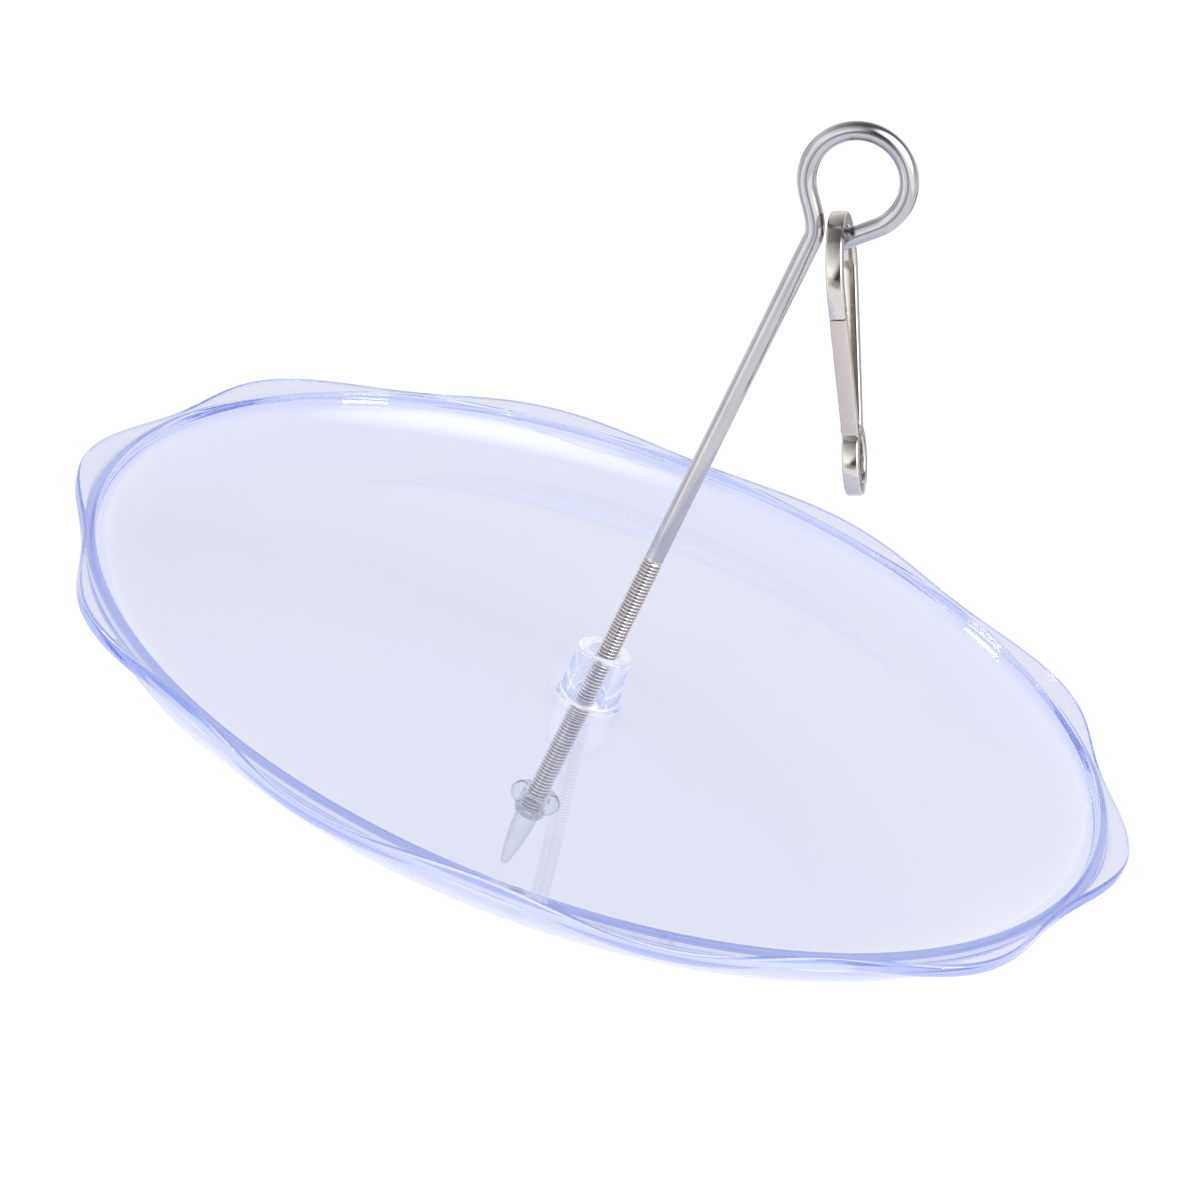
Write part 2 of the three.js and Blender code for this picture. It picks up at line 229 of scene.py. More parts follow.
# Bright-drawn stainless steel: the die leaves fine lines along the wire, 0.2 mm apart, which spread
# the shine a little round it, and handling leaves duller patches, 4 mm by 8 mm. On the thread the
# colour goes from painted shade in the roots to a painted highlight on the crests.
DIE_LINES_PER_MM = (0.06, 5.0, 1.0)
DIE_LINE_DEPTH = 0.03
PATCHES_PER_MM = (0.12, 0.25, 1.0)
CREST_HIGHLIGHT_SHARE = 0.95
drawn_stainless = bpy.data.materials.new("drawn_stainless")
steel_tree = bare_tree(drawn_stainless)
wire_mm = put(steel_tree, "ShaderNodeUVMap", uv_map="along_round")
die_place = put(
    steel_tree,
    "ShaderNodeMapping",
    {"Vector": wire_mm.outputs["UV"], "Scale": DIE_LINES_PER_MM},
)
die_lines = put(
    steel_tree,
    "ShaderNodeTexNoise",
    {"Vector": die_place.outputs[0], "Scale": 1.0, "Detail": 3.0},
)
patch_place = put(
    steel_tree,
    "ShaderNodeMapping",
    {"Vector": wire_mm.outputs["UV"], "Scale": PATCHES_PER_MM},
)
patches = put(
    steel_tree,
    "ShaderNodeTexNoise",
    {"Vector": patch_place.outputs[0], "Scale": 1.0, "Detail": 2.0},
)
wire_colour = put(
    steel_tree,
    "ShaderNodeMix",
    {SHARE: patches.outputs[0], COLOUR_A: linear("#b0aeb3"), COLOUR_B: linear("#c8c6c9")},
    data_type="RGBA",
)
steel_place = put(steel_tree, "ShaderNodeTexCoord")
off_axis = put(
    steel_tree,
    "ShaderNodeVectorMath",
    {0: steel_place.outputs["Object"], 1: (1.0, 1.0, 0.0)},
    operation="MULTIPLY",
)
from_axis = put(steel_tree, "ShaderNodeVectorMath", {0: off_axis.outputs[0]}, operation="LENGTH")
# Painted shade in the thread's roots and a painted highlight on its crests, set by the distance from
# the rod's axis, below the thread's top only.
crest_highlight_share = put(
    steel_tree,
    "ShaderNodeMapRange",
    {
        "Value": from_axis.outputs["Value"],
        "From Min": THREAD_ROOT_R * MM,
        "From Max": THREAD_R * CREST_HIGHLIGHT_SHARE * MM,
    },
)
thread_shade_and_highlight = put(
    steel_tree,
    "ShaderNodeMix",
    {SHARE: crest_highlight_share.outputs[0], COLOUR_A: linear("#a5a09d"), COLOUR_B: linear("#f2efec")},
    data_type="RGBA",
)
steel_at = put(steel_tree, "ShaderNodeSeparateXYZ", {0: steel_place.outputs["Object"]})
plain_wire = put(
    steel_tree,
    "ShaderNodeMath",
    {0: steel_at.outputs["Z"], 1: THREAD_TOP_Z * MM},
    operation="GREATER_THAN",
)
steel_colour = put(
    steel_tree,
    "ShaderNodeMix",
    {
        SHARE: plain_wire.outputs[0],
        COLOUR_A: thread_shade_and_highlight.outputs[MIXED_COLOUR],
        COLOUR_B: wire_colour.outputs[MIXED_COLOUR],
    },
    data_type="RGBA",
)
steel_rough = put(
    steel_tree,
    "ShaderNodeMapRange",
    {
        "Value": die_lines.outputs[0],
        "From Min": 0.3,
        "From Max": 0.7,
        "To Min": 0.1,
        "To Max": 0.2,
    },
)
die_bump = put(
    steel_tree,
    "ShaderNodeBump",
    {"Height": die_lines.outputs[0], "Strength": 0.06, "Distance": DIE_LINE_DEPTH * MM},
)
steel = put(
    steel_tree,
    "ShaderNodeBsdfPrincipled",
    {
        "Base Color": steel_colour.outputs[MIXED_COLOUR],
        "Metallic": 1.0,
        "Roughness": steel_rough.outputs[0],
        "Normal": die_bump.outputs[0],
    },
)
put(steel_tree, "ShaderNodeOutputMaterial", {"Surface": steel.outputs[0]})
skewer.data.materials.append(drawn_stainless)
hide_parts("skewer")
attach(skewer, "skewer")


# Catch plate: one clear moulding, faintly blue. A flat floor turns up through a long cove to the
# wall, and a flat rim of ten shallow lobes stands out from the wall's top. The tube boss rides on
# the thread.
RIM_R = 102.9
LOBES = 10
LOBE_WAVE = 2.16
LOBE_PHASE = math.radians(-0.6)
RIM_T = 2.6
RIM_ROUND = 0.6
RIM_LEDGE = 0.54
WALL_T = 1.8
WALL_STEP = 0.12
PLATE_DEPTH = 11.7
FLOOR_T = 2.1
COVE_WIDTH = 20.2
BOSS_TOP = 0.4
BOSS_BASE_R = 5.8
BOSS_TOP_R = 5.3
BOSS_FILLET = 1.2
BOSS_ROUND = 0.8
LEAN = math.radians(7.0)
LEAN_TOWARDS = math.radians(213.9)
PLATE_Z = -116.1
BORE_GAP = 0.3
SPOKES = 480
FLOOR_ROWS = 12
RIM_ROWS = 4
BORE_ROWS = 6
FILLET_STEP = 18
wall_r = RIM_R - LOBE_WAVE - RIM_LEDGE
wall_in_r = wall_r - WALL_T
floor_r = wall_r - COVE_WIDTH
floor_top = FLOOR_T - PLATE_DEPTH
boss_foot_r = BOSS_BASE_R + BOSS_FILLET
bore_length = PLATE_DEPTH + BOSS_TOP
bore_r = (2 * THREAD_R + bore_length * math.sin(LEAN)) / (2 * math.cos(LEAN)) + BORE_GAP


def quarter_round(r, z, radius, start, steps=12):
    """A quarter round about a point of the section, as points of radius and height"""
    turns = [math.radians(start + 90 * i / steps) for i in range(steps + 1)]
    return [(r + radius * math.cos(a), z + radius * math.sin(a)) for a in turns]


def cove(radius, bottom, top, steps=28):
    """A quarter of an ellipse from the floor up to the wall"""
    turns = [math.pi / 2 * i / steps for i in range(steps + 1)]
    wide = radius - floor_r
    high = top - bottom
    return [(floor_r + wide * math.sin(a), bottom + high * (1 - math.cos(a))) for a in turns]


def plate_section(rim_r):
    """The moulding's section, once round, for a rim of this radius"""
    under = [
        (bore_r + (floor_r - bore_r) * i / FLOOR_ROWS, -PLATE_DEPTH) for i in range(FLOOR_ROWS)
    ]
    floor = [
        (floor_r - (floor_r - boss_foot_r) * i / FLOOR_ROWS, floor_top)
        for i in range(1, FLOOR_ROWS)
    ]
    ledge = wall_r + WALL_STEP
    edge = rim_r - RIM_ROUND
    fillet = []
    for degrees in range(90, -1, -FILLET_STEP):
        a = math.radians(degrees)
        out = BOSS_FILLET * (1 - math.cos(a))
        fillet.append((BOSS_BASE_R + out, floor_top + BOSS_FILLET * (1 - math.sin(a))))
    return (
        under
        + cove(wall_r, -PLATE_DEPTH, -RIM_T - WALL_STEP)
        + [(ledge, -RIM_T), ((ledge + edge) / 2, -RIM_T)]
        + quarter_round(edge, -RIM_T + RIM_ROUND, RIM_ROUND, -90)
        + [(rim_r, -RIM_T / 2)]
        + quarter_round(edge, -RIM_ROUND, RIM_ROUND, 0)
        + [(edge - (edge - wall_r) * i / RIM_ROWS, 0) for i in range(1, RIM_ROWS + 1)]
        + quarter_round(wall_in_r + RIM_ROUND, -RIM_ROUND, RIM_ROUND, 90)
        + list(reversed(cove(wall_in_r, floor_top, -RIM_ROUND)))[1:]
        + floor
        + fillet
        + quarter_round(BOSS_TOP_R - BOSS_ROUND, BOSS_TOP - BOSS_ROUND, BOSS_ROUND, 0)
        + quarter_round(bore_r + BOSS_ROUND, BOSS_TOP - BOSS_ROUND, BOSS_ROUND, 90)
        + [(bore_r, BOSS_TOP - bore_length * i / BORE_ROWS) for i in range(1, BORE_ROWS)]
    )


lean = Quaternion((-math.sin(LEAN_TOWARDS), math.cos(LEAN_TOWARDS), 0), LEAN)
plate_rings = []
for k in range(SPOKES):
    a = 2 * math.pi * k / SPOKES
    rim_r = RIM_R + LOBE_WAVE * math.cos(LOBES * (a - LOBE_PHASE))
    ring = []
    for r, z in plate_section(rim_r):
        own = Vector((r * math.cos(a), r * math.sin(a), z + PLATE_DEPTH - bore_length / 2))
        ring.append(lean @ own + Vector((0, 0, PLATE_Z)))
    plate_rings.append(ring)
plate = skin("plate_moulding", plate_rings, closed=True, sharp=50)

# Clear polystyrene, injection moulded: the gloss of a polished tool, with a faint haze from handling
# in patches about 36 mm wide. A deeper blue is painted on the rim and on every steep face of the
# wall, standing for the blue that light picks up running far through it; the floor is paler, and the
# thick boss is painted nearly without colour, as pale as the floor looks.
HAZE_PER_M = 28.0
RIM_FROM = 0.3
STEEP_FROM = 0.6
STEEP_FULL = 0.06
clear_polystyrene = bpy.data.materials.new("clear_polystyrene")
plate_tree = bare_tree(clear_polystyrene)
plate_place = put(plate_tree, "ShaderNodeTexCoord")
haze = put(
    plate_tree,
    "ShaderNodeTexNoise",
    {"Vector": plate_place.outputs["Object"], "Scale": HAZE_PER_M, "Detail": 4.0},
)
haze_rough = put(
    plate_tree,
    "ShaderNodeMapRange",
    {
        "Value": haze.outputs[0],
        "From Min": 0.35,
        "From Max": 0.7,
        "To Min": 0.0,
        "To Max": 0.012,
    },
)
plate_axis = tuple(lean @ UP)
from_middle = put(
    plate_tree,
    "ShaderNodeVectorMath",
    {0: plate_place.outputs["Object"], 1: (0, 0, PLATE_Z * MM)},
    operation="SUBTRACT",
)
off_middle = put(
    plate_tree,
    "ShaderNodeVectorMath",
    {0: from_middle.outputs[0], 1: plate_axis},
    operation="CROSS_PRODUCT",
)
out_at = put(plate_tree, "ShaderNodeVectorMath", {0: off_middle.outputs[0]}, operation="LENGTH")
by_edge = put(
    plate_tree,
    "ShaderNodeMath",
    {0: out_at.outputs["Value"], 1: floor_r * MM},
    operation="GREATER_THAN",
)
by_rim = put(
    plate_tree,
    "ShaderNodeMath",
    {0: out_at.outputs["Value"], 1: (wall_r + RIM_FROM) * MM},
    operation="GREATER_THAN",
)
faces_up = put(
    plate_tree,
    "ShaderNodeVectorMath",
    {0: plate_place.outputs["Normal"], 1: plate_axis},
    operation="DOT_PRODUCT",
)
flatness = put(plate_tree, "ShaderNodeMath", {0: faces_up.outputs["Value"]}, operation="ABSOLUTE")
steep = put(
    plate_tree,
    "ShaderNodeMapRange",
    {
        "Value": flatness.outputs[0],
        "From Min": STEEP_FROM,
        "From Max": STEEP_FULL,
        "To Min": 0.0,
        "To Max": 1.0,
    },
)
# Painted blue on the steep faces past the floor, deeper on the rim, for light running far through the
# plastic.
painted_blue_share = put(
    plate_tree,
    "ShaderNodeMath",
    {0: steep.outputs[0], 1: by_edge.outputs[0]},
    operation="MULTIPLY",
)
pale_tint = put(
    plate_tree,
    "ShaderNodeMix",
    {SHARE: haze.outputs[0], COLOUR_A: linear("#e5e7fb"), COLOUR_B: linear("#e8eafb")},
    data_type="RGBA",
)
# The boss is painted nearly without colour, paler than the floor.
past_boss = put(
    plate_tree,
    "ShaderNodeMapRange",
    {
        "Value": out_at.outputs["Value"],
        "From Min": BOSS_BASE_R * MM,
        "From Max": boss_foot_r * MM,
    },
)
floor_and_pale_boss = put(
    plate_tree,
    "ShaderNodeMix",
    {
        SHARE: past_boss.outputs[0],
        COLOUR_A: linear("#f7f8fe"),
        COLOUR_B: pale_tint.outputs[MIXED_COLOUR],
    },
    data_type="RGBA",
)
painted_edge_blue = put(
    plate_tree,
    "ShaderNodeMix",
    {SHARE: by_rim.outputs[0], COLOUR_A: linear("#cad2fd"), COLOUR_B: linear("#b2bdf9")},
    data_type="RGBA",
)
plate_tint_with_painted_blue = put(
    plate_tree,
    "ShaderNodeMix",
    {
        SHARE: painted_blue_share.outputs[0],
        COLOUR_A: floor_and_pale_boss.outputs[MIXED_COLOUR],
        COLOUR_B: painted_edge_blue.outputs[MIXED_COLOUR],
    },
    data_type="RGBA",
)
plate_body = put(
    plate_tree,
    "ShaderNodeBsdfPrincipled",
    {
        "Base Color": plate_tint_with_painted_blue.outputs[MIXED_COLOUR],
        "Roughness": haze_rough.outputs[0],
        "IOR": 1.58,
        "Transmission Weight": 1.0,
    },
)
plate_inside = put(
    plate_tree,
    "ShaderNodeVolumeAbsorption",
    {"Color": linear("#5f90ee"), "Density": 3.0},
)
put(
    plate_tree,
    "ShaderNodeOutputMaterial",
    {"Surface": plate_body.outputs[0], "Volume": plate_inside.outputs[0]},
)
plate.data.materials.append(clear_polystyrene)
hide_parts("plate")
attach(plate, "plate")


# Tip nut: a clear moulding, greyer than the plate, screwed on the end of the thread. Two rounded
# wings stand up beside the rod for the fingers, and a pointed tail covers the rod's end and goes
# through the fruit.
NUT_TOP_Z = -144.2
NUT_BODY_R = 3.1
NUT_BODY_H = 4.6
NUT_GAP = 0.3
NUT_BORE_R = THREAD_R + NUT_GAP
NUT_EDGE = 0.45
BORE_FOOT_R = 0.3
BORE_OVER = 0.3
SHOULDER_H = 1.6
WING_HALF = 4.95
WING_H = 6.2
WING_RISE = 2.3
WING_HALF_T = 1.2
WING_ROUND = 0.95
TAIL_R = 2.2
TAIL_TIP_R = 0.75
TAIL_TIP_H = 0.4
TAIL_SWELL = 1.85
TIP_Z = -160.0
TIP_FLAT = 0.35
TIP_TURN = 0.75
TIP_TURN_H = 0.08
TAIL_ROWS = 16
SHOULDER_ROWS = 8
BRIM_ROWS = 5
WING_POINTS = 72
WING_ROWS = 6
nut_foot_z = NUT_TOP_Z - NUT_BODY_H
wing_top_z = NUT_TOP_Z + WING_RISE
bore_foot_z = ROD_END_Z - NUT_GAP


def turned(name, section, count=96):
    """A turned solid from points of radius and height, foot first"""
    turns = [2 * math.pi * k / count for k in range(count)]
    return skin(name, [[(r * math.cos(a), r * math.sin(a), z) for a in turns] for r, z in section])


def joined(piece, other, operation):
    """The piece with the other one added or cut away, and the other one gone"""
    change = piece.modifiers.new("change", "BOOLEAN")
    change.object = other
    change.operation = operation
    change.solver = "EXACT"
    bpy.context.view_layer.update()
    changed = piece.evaluated_get(bpy.context.evaluated_depsgraph_get())
    made = bpy.data.meshes.new_from_object(changed)
    piece.modifiers.clear()
    piece.data = made
    bpy.data.objects.remove(other)


tail_section = [(TAIL_TIP_R * TIP_FLAT, TIP_Z), (TAIL_TIP_R * TIP_TURN, TIP_Z + TIP_TURN_H)]
for row in range(TAIL_ROWS + 1):
    swell = 1 - (1 - row / TAIL_ROWS) ** TAIL_SWELL
    z = TIP_Z + TAIL_TIP_H + (nut_foot_z - TIP_Z - TAIL_TIP_H) * row / TAIL_ROWS
    tail_section.append((TAIL_TIP_R + (TAIL_R - TAIL_TIP_R) * swell, z))
shoulder = []
for row in range(1, SHOULDER_ROWS + 1):
    bend = math.pi / 2 * row / SHOULDER_ROWS
    r = TAIL_R + (NUT_BODY_R - TAIL_R) * math.sin(bend)
    shoulder.append((r, nut_foot_z + SHOULDER_H * (1 - math.cos(bend))))
brim = []
for row in range(BRIM_ROWS + 1):
    bend = math.pi / 2 * row / BRIM_ROWS
    r = NUT_BODY_R - NUT_EDGE * (1 - math.cos(bend))
    brim.append((r, NUT_TOP_Z - NUT_EDGE * (1 - math.sin(bend))))
tip_nut = turned("tip_nut_moulding", tail_section + shoulder + brim)
wing_step = 90 / WING_ROWS
wing_edges = [(-1, math.radians(wing_step * i - 90)) for i in range(WING_ROWS + 1)]
wing_edges += [(1, math.radians(wing_step * i)) for i in range(WING_ROWS + 1)]
wing_rings = []
for side, bend in wing_edges:
    y = side * (WING_HALF_T - WING_ROUND) + WING_ROUND * math.sin(bend)
    drawn_in = WING_ROUND * (1 - math.cos(bend))
    ring = []
    for k in range(WING_POINTS):
        a = 2 * math.pi * k / WING_POINTS
        x = (WING_HALF - drawn_in) * math.cos(a)
        ring.append((x, y, wing_top_z - WING_H / 2 + (WING_H / 2 - drawn_in) * math.sin(a)))
    wing_rings.append(ring)
joined(tip_nut, skin("wings", wing_rings), "UNION")
bore_section = [
    (BORE_FOOT_R, bore_foot_z),
    (NUT_BORE_R - ROD_CHAMFER, bore_foot_z),
    (NUT_BORE_R, bore_foot_z + ROD_CHAMFER),
    (NUT_BORE_R, wing_top_z + BORE_OVER),
]
joined(tip_nut, turned("bore", bore_section), "DIFFERENCE")
soften(tip_nut, sharp=38)

# Clear acrylic, moulded thick: greyer than the plate, with faint flow marks about 3 mm long. Painted
# shade darkens its edges where the surface turns away, standing for the eye looking through more of
# it, and leaves a lighter core.
FLOW_MARKS_PER_M = 320.0
clear_acrylic = bpy.data.materials.new("clear_acrylic")
nut_tree = bare_tree(clear_acrylic)
nut_place = put(nut_tree, "ShaderNodeTexCoord")
flow = put(
    nut_tree,
    "ShaderNodeTexNoise",
    {"Vector": nut_place.outputs["Object"], "Scale": FLOW_MARKS_PER_M, "Detail": 3.0},
)
flow_rough = put(
    nut_tree,
    "ShaderNodeMapRange",
    {"Value": flow.outputs[0], "From Min": 0.3, "From Max": 0.7, "To Min": 0.01, "To Max": 0.04},
)
core_tint = put(
    nut_tree,
    "ShaderNodeMix",
    {SHARE: flow.outputs[0], COLOUR_A: linear("#f3f5f6"), COLOUR_B: linear("#fafbfc")},
    data_type="RGBA",
)
# Painted shade on the edges where the surface turns away, leaving a lighter core.
edge_shade_share = put(nut_tree, "ShaderNodeLayerWeight", {"Blend": 0.65})
nut_tint_edge_shaded = put(
    nut_tree,
    "ShaderNodeMix",
    {
        SHARE: edge_shade_share.outputs["Facing"],
        COLOUR_A: core_tint.outputs[MIXED_COLOUR],
        COLOUR_B: linear("#b0b7bd"),
    },
    data_type="RGBA",
)
nut_body = put(
    nut_tree,
    "ShaderNodeBsdfPrincipled",
    {
        "Base Color": nut_tint_edge_shaded.outputs[MIXED_COLOUR],
        "Roughness": flow_rough.outputs[0],
        "IOR": 1.49,
        "Transmission Weight": 1.0,
    },
)
nut_inside = put(
    nut_tree,
    "ShaderNodeVolumeAbsorption",
    {"Color": linear("#98a6ad"), "Density": 20.0},
)
put(
    nut_tree,
    "ShaderNodeOutputMaterial",
    {"Surface": nut_body.outputs[0], "Volume": nut_inside.outputs[0]},
)
tip_nut.data.materials.clear()
tip_nut.data.materials.append(clear_acrylic)
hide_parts("tip_nut")
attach(tip_nut, "tip_nut")


# Snap hook body: a flat gourd-shaped hook, cast in zinc and nickel plated. The big loop hangs on the
# straight end of the eye, the small eye takes a ring, and a thin lug at the waist holds the gate's
# rivet.
HOOK_LENGTH = 53.3
HOOK_T = 3.1
HOOK_BAR = 2.6
HOOK_ROUND = 0.45
BIG_R = 11.0
WAIST_R = 4.2
WAIST_DROP = 39.3
SMALL_R = 6.6
HANG_ALONG_END = 7.25
HANG = math.radians(29.3)
NOSE_DROP = 16.9
PIVOT_DROP = 40.0
SLOT_W = 2.2
SLOT_PLAY = 0.15
LUG_T = 0.7
LUG_WALL = 0.5
FOOT_WALL = 0.4
PIECE_GAP = 0.3
RIVET_R = 0.5
RIVET_FIT = 0.06
LUG_R = RIVET_R + LUG_WALL
SLOT_R = LUG_R + PIECE_GAP
FOOT_R = SLOT_R + FOOT_WALL
LUG_FOOT = FOOT_R + 3 * PIECE_GAP
CUT_THROUGH = 2 * HOOK_T
SMALL_EYE_POINTS = 48
hook_up = Vector((-math.sin(HANG), 0, math.cos(HANG)))
hook_back = Vector((0, 1, 0))
hook_side = hook_back.cross(hook_up)
hang_at = end_from + end_way * HANG_ALONG_END
slant = math.asin(abs(hook_up.dot(end_way)))
hook_top = HOOK_BAR + PIECE_GAP + WIRE_R / math.cos(slant) + HOOK_T / 2 * math.tan(slant)
big_y = hook_top - BIG_R
waist_y = hook_top - WAIST_DROP
small_y = hook_top - HOOK_LENGTH + SMALL_R
taper = math.asin((BIG_R - WAIST_R) / (big_y - waist_y))
gate_up = Vector((-math.sin(taper), math.cos(taper), 0))
gate_in = Vector((math.cos(taper), math.sin(taper), 0))
half_bar = HOOK_BAR / 2
bar_middle = Vector((0, big_y, 0)) - gate_in * (BIG_R - half_bar)


def on_bar(drop):
    """The point of the front bar's middle line that lies this far below the hook's top"""
    return bar_middle + gate_up * ((hook_top - drop - bar_middle.y) / gate_up.y)


pivot = on_bar(PIVOT_DROP) + gate_in * (FOOT_R - half_bar)
nose = on_bar(NOSE_DROP)


def by_pivot(inward, up):
    """A point of the hook's plane, so far inward from the gate's pivot and so far up the gate"""
    return pivot + gate_in * inward + gate_up * up


def pivot_arc(radius, start, stop, steps=20):
    """Points of an arc about the pivot, in degrees from straight inward, upward first"""
    turns = [math.radians(start + (stop - start) * i / steps) for i in range(steps + 1)]
    return [by_pivot(radius * math.cos(a), radius * math.sin(a)) for a in turns]


def pivot_circle(radius, points):
    """Points of a whole circle about the pivot"""
    return pivot_arc(radius, 0, 360 - 360 / points, steps=points - 1)


def arc(y, radius, start, stop, steps):
    """Points of an arc about the hook's middle line, angles in radians"""
    turns = [start + (stop - start) * i / steps for i in range(steps + 1)]
    return [Vector((radius * math.cos(a), y + radius * math.sin(a), 0)) for a in turns]


def hook_point(at, side=0.0):
    """A point of the hook's own plane, and this far to its side, in the holder's frame"""
    return hang_at + hook_back * at.x + hook_up * at.y + hook_side * (at.z + side)


def flat_bar(name, outlines, thickness, edge_round=0.0, side=0.0):
    """A flat piece of the hook cut to its outlines, with rounded edges, hung in its place"""
    curve = bpy.data.curves.new(name, "CURVE")
    curve.dimensions = "2D"
    curve.fill_mode = "BOTH"
    curve.extrude = (thickness / 2 - edge_round) * MM
    curve.bevel_depth = edge_round * MM
    curve.bevel_resolution = 3
    curve.offset = -edge_round * MM
    for outline in outlines:
        spline = curve.splines.new("POLY")
        spline.points.add(len(outline) - 1)
        for point, at in zip(spline.points, outline):
            point.co = (at.x * MM, at.y * MM, 0, 1)
        spline.use_cyclic_u = True
    drawn = bpy.data.objects.new(name + "_drawn", curve)
    bpy.context.scene.collection.objects.link(drawn)
    bpy.context.view_layer.update()
    filled = drawn.evaluated_get(bpy.context.evaluated_depsgraph_get())
    mesh = bpy.data.meshes.new_from_object(filled)
    mesh.name = name
    bpy.data.objects.remove(drawn)
    bpy.data.curves.remove(curve)
    work = bmesh.new()
    work.from_mesh(mesh)
    bmesh.ops.remove_doubles(work, verts=work.verts, dist=1e-6)
    for vert in work.verts:
        vert.co = hook_point(vert.co / MM, side) * MM
    bmesh.ops.recalc_face_normals(work, faces=work.faces)
    work.to_mesh(mesh)
    work.free()
    piece = bpy.data.objects.new(name, mesh)
    bpy.context.scene.collection.objects.link(piece)
    return piece


neck_drop = ((small_y - waist_y) ** 2 + WAIST_R**2 - SMALL_R**2) / (2 * (waist_y - small_y))
neck_half = math.sqrt(WAIST_R**2 - neck_drop**2)
waist_turn = math.atan2(-neck_drop, neck_half)
lobe_turn = math.atan2(waist_y - neck_drop - small_y, neck_half)
body_outline = (
    [nose + gate_in * half_bar, nose - gate_in * half_bar]
    + arc(big_y, BIG_R, math.pi + taper, -taper, steps=72)
    + arc(waist_y, WAIST_R, -taper, waist_turn, steps=6)
    + arc(small_y, SMALL_R, lobe_turn, -math.pi - lobe_turn, steps=64)[1:]
    + arc(waist_y, WAIST_R, math.pi - waist_turn, math.pi + taper, steps=6)[1:]
    + arc(waist_y, WAIST_R - HOOK_BAR, math.pi + taper, 2 * math.pi - taper, steps=20)
    + arc(big_y, BIG_R - HOOK_BAR, -taper, math.pi + taper, steps=64)
)
small_eye_end = 2 * math.pi * (SMALL_EYE_POINTS - 1) / SMALL_EYE_POINTS
small_eye = arc(small_y, SMALL_R - HOOK_BAR, 0, small_eye_end, steps=SMALL_EYE_POINTS - 1)
lug_side = -SLOT_W / 2 + SLOT_PLAY + LUG_T / 2
lug_outline = pivot_arc(LUG_R, 0, 270) + [by_pivot(0, -LUG_FOOT), by_pivot(LUG_R, -LUG_FOOT)]
foot_room = pivot_circle(FOOT_R + PIECE_GAP, points=40)
rivet_hole = pivot_circle(RIVET_R + RIVET_FIT, points=24)
hook_body = flat_bar("hook_body_cast", [body_outline, small_eye], HOOK_T, HOOK_ROUND)
joined(hook_body, flat_bar("foot_cut", [foot_room], CUT_THROUGH), "DIFFERENCE")
joined(hook_body, flat_bar("lug", [lug_outline], LUG_T, side=lug_side), "UNION")
joined(hook_body, flat_bar("rivet_cut", [rivet_hole], CUT_THROUGH), "DIFFERENCE")
soften(hook_body, sharp=35)

# Bright nickel plate on cast zinc: a warm mirror with a soft ripple from the casting under it, about
# 3 mm across, and fine rubbing that dulls it in spots of 0.7 mm.
RIPPLES_PER_M = 330.0
RIPPLE_DEPTH = 0.2
RUBS_PER_M = 1500.0
bright_nickel = bpy.data.materials.new("bright_nickel")
nickel_tree = bare_tree(bright_nickel)
hook_place = put(nickel_tree, "ShaderNodeTexCoord")
ripple = put(
    nickel_tree,
    "ShaderNodeTexNoise",
    {"Vector": hook_place.outputs["Object"], "Scale": RIPPLES_PER_M, "Detail": 1.0},
)
rubbing = put(
    nickel_tree,
    "ShaderNodeTexNoise",
    {"Vector": hook_place.outputs["Object"], "Scale": RUBS_PER_M, "Detail": 4.0},
)
nickel_rough = put(
    nickel_tree,
    "ShaderNodeMapRange",
    {
        "Value": rubbing.outputs[0],
        "From Min": 0.35,
        "From Max": 0.75,
        "To Min": 0.07,
        "To Max": 0.2,
    },
)
nickel_colour = put(
    nickel_tree,
    "ShaderNodeMix",
    {SHARE: rubbing.outputs[0], COLOUR_A: linear("#cbc5c0"), COLOUR_B: linear("#d9d4d0")},
    data_type="RGBA",
)
cast_bump = put(
    nickel_tree,
    "ShaderNodeBump",
    {"Height": ripple.outputs[0], "Strength": 0.12, "Distance": RIPPLE_DEPTH * MM},
)
nickel = put(
    nickel_tree,
    "ShaderNodeBsdfPrincipled",
    {
        "Base Color": nickel_colour.outputs[MIXED_COLOUR],
        "Metallic": 1.0,
        "Roughness": nickel_rough.outputs[0],
        "Normal": cast_bump.outputs[0],
    },
)
put(nickel_tree, "ShaderNodeOutputMaterial", {"Surface": nickel.outputs[0]})
hook_body.data.materials.clear()
hook_body.data.materials.append(bright_nickel)
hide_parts("hook_body")
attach(hook_body, "snap_hook")


# Gate: a straight bar of the same plated casting that shuts the big loop. Its foot is a channel,
# closed in front, that goes over the lug and turns on the rivet; its top end meets the nose.
GATE_ROUND = 0.3
gate_length = (nose - on_bar(PIVOT_DROP)).length - PIECE_GAP
bar_inner = HOOK_BAR - FOOT_R
foot_meets_bar = 360 + math.degrees(math.acos(bar_inner / FOOT_R))
gate_outline = [by_pivot(bar_inner, gate_length), by_pivot(-FOOT_R, gate_length)]
gate_outline += pivot_arc(FOOT_R, 180, foot_meets_bar, steps=32)
slot_top = SLOT_R + PIECE_GAP
slot_meets = 360 - math.degrees(math.acos(-PIECE_GAP / SLOT_R))
slot_outline = (
    [by_pivot(2 * FOOT_R, slot_top), by_pivot(-SLOT_R, slot_top)]
    + pivot_arc(SLOT_R, 180, slot_meets, steps=12)
    + [by_pivot(-PIECE_GAP, -2 * FOOT_R), by_pivot(2 * FOOT_R, -2 * FOOT_R)]
)
hook_gate = flat_bar("hook_gate_cast", [gate_outline], HOOK_T, GATE_ROUND)
joined(hook_gate, flat_bar("slot_cut", [slot_outline], SLOT_W), "DIFFERENCE")
joined(hook_gate, flat_bar("rivet_cut", [rivet_hole], CUT_THROUGH), "DIFFERENCE")
soften(hook_gate, sharp=35)

